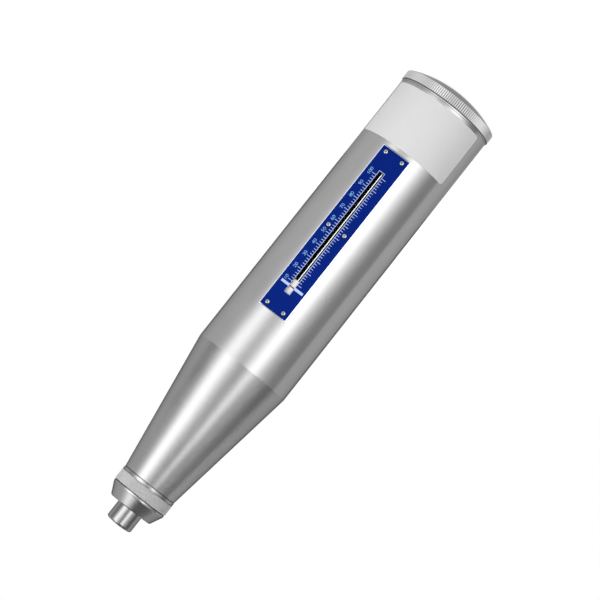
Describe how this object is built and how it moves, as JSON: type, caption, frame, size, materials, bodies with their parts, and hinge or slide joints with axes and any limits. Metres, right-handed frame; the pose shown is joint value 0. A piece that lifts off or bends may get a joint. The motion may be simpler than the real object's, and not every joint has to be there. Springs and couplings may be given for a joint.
{
  "type": "concrete test hammer",
  "caption": "Rebound hammer for testing concrete: a round metal housing that tapers to a knurled nose, a spring-driven plunger, a scale with a sliding rider and a knurled rear cap.",
  "frame": {"origin": "centre of the flat land under the rear cap, on the hammer's axis", "axes": "+Z along the axis towards the plunger, -Y out of the scale plate, +X towards the numbered side of the scale"},
  "size_m": [0.0552, 0.0569, 0.2782],
  "materials": {
    "housing_alloy": "turned and satin polished",
    "cap_alloy": "turned, with a knurled band",
    "plunger_steel": "ground and hardened",
    "inner_steel": "turned",
    "spring_steel": "oiled wire",
    "disk_alloy": "turned",
    "sleeve_brass": "reamed",
    "plate_paint": "anodised blue with printed white lines",
    "screw_nickel": "nickel plated",
    "window_clear": "clear acrylic",
    "rider_ivory": "moulded",
    "line_red": "filled line",
    "felt": "pressed felt",
    "button_black": "moulded"
  },
  "bodies": {
    "casing": {"housing": "housing_alloy", "rear_cap": "cap_alloy", "trip_screw": "inner_steel", "trip_lock_nut": "inner_steel", "nose_cap": "cap_alloy", "felt_washer": "felt", "split_ring": "inner_steel", "guide_sleeve": "sleeve_brass", "scale_plate": "plate_paint", "plate_screws": "screw_nickel", "window": "window_clear", "rider_rod": "plunger_steel", "button_bush": "screw_nickel", "button_spring": "spring_steel", "impact_spring": "spring_steel", "return_spring": "spring_steel"},
    "plunger": {"plunger": "plunger_steel", "guide_bar": "plunger_steel", "guide_disk": "disk_alloy", "bar_pin": "inner_steel", "buffer_spring": "spring_steel", "pawl_pin": "inner_steel", "pawl_spring": "spring_steel"},
    "pawl": {"pawl": "inner_steel"},
    "hammer": {"hammer_mass": "inner_steel"},
    "rider": {"rider": "rider_ivory", "rider_line": "line_red", "rider_leaf": "spring_steel"},
    "button": {"push_button": "button_black"}
  },
  "joints": [
    {"name": "plunger_slide", "type": "slide", "parent": "casing", "child": "plunger", "axis": [0, 0, 1], "range_m": [0, 0.075], "deforming": ["return_spring"]},
    {"name": "hammer_slide", "type": "slide", "parent": "casing", "child": "hammer", "axis": [0, 0, 1], "range_m": [0, 0.075], "deforming": ["impact_spring"]},
    {"name": "pawl_swing", "type": "hinge", "parent": "plunger", "child": "pawl", "pos_m": [0, 0.012, 0.041], "axis": [-1, 0, 0], "range_deg": [0, 13], "stiffness_Nm_per_rad": 0.06, "deforming": ["pawl_spring"]},
    {"name": "rider_slide", "type": "slide", "parent": "casing", "child": "rider", "axis": [0, 0, -1], "range_m": [0, 0.069]},
    {"name": "button_press", "type": "slide", "parent": "casing", "child": "button", "axis": [0, -1, 0], "range_m": [0, 0.002], "stiffness_N_per_m": 450, "deforming": ["button_spring"]}
  ],
  "couplings": [
    {"joint": "hammer_slide", "follows": "plunger_slide", "ratio": 1}
  ]
}
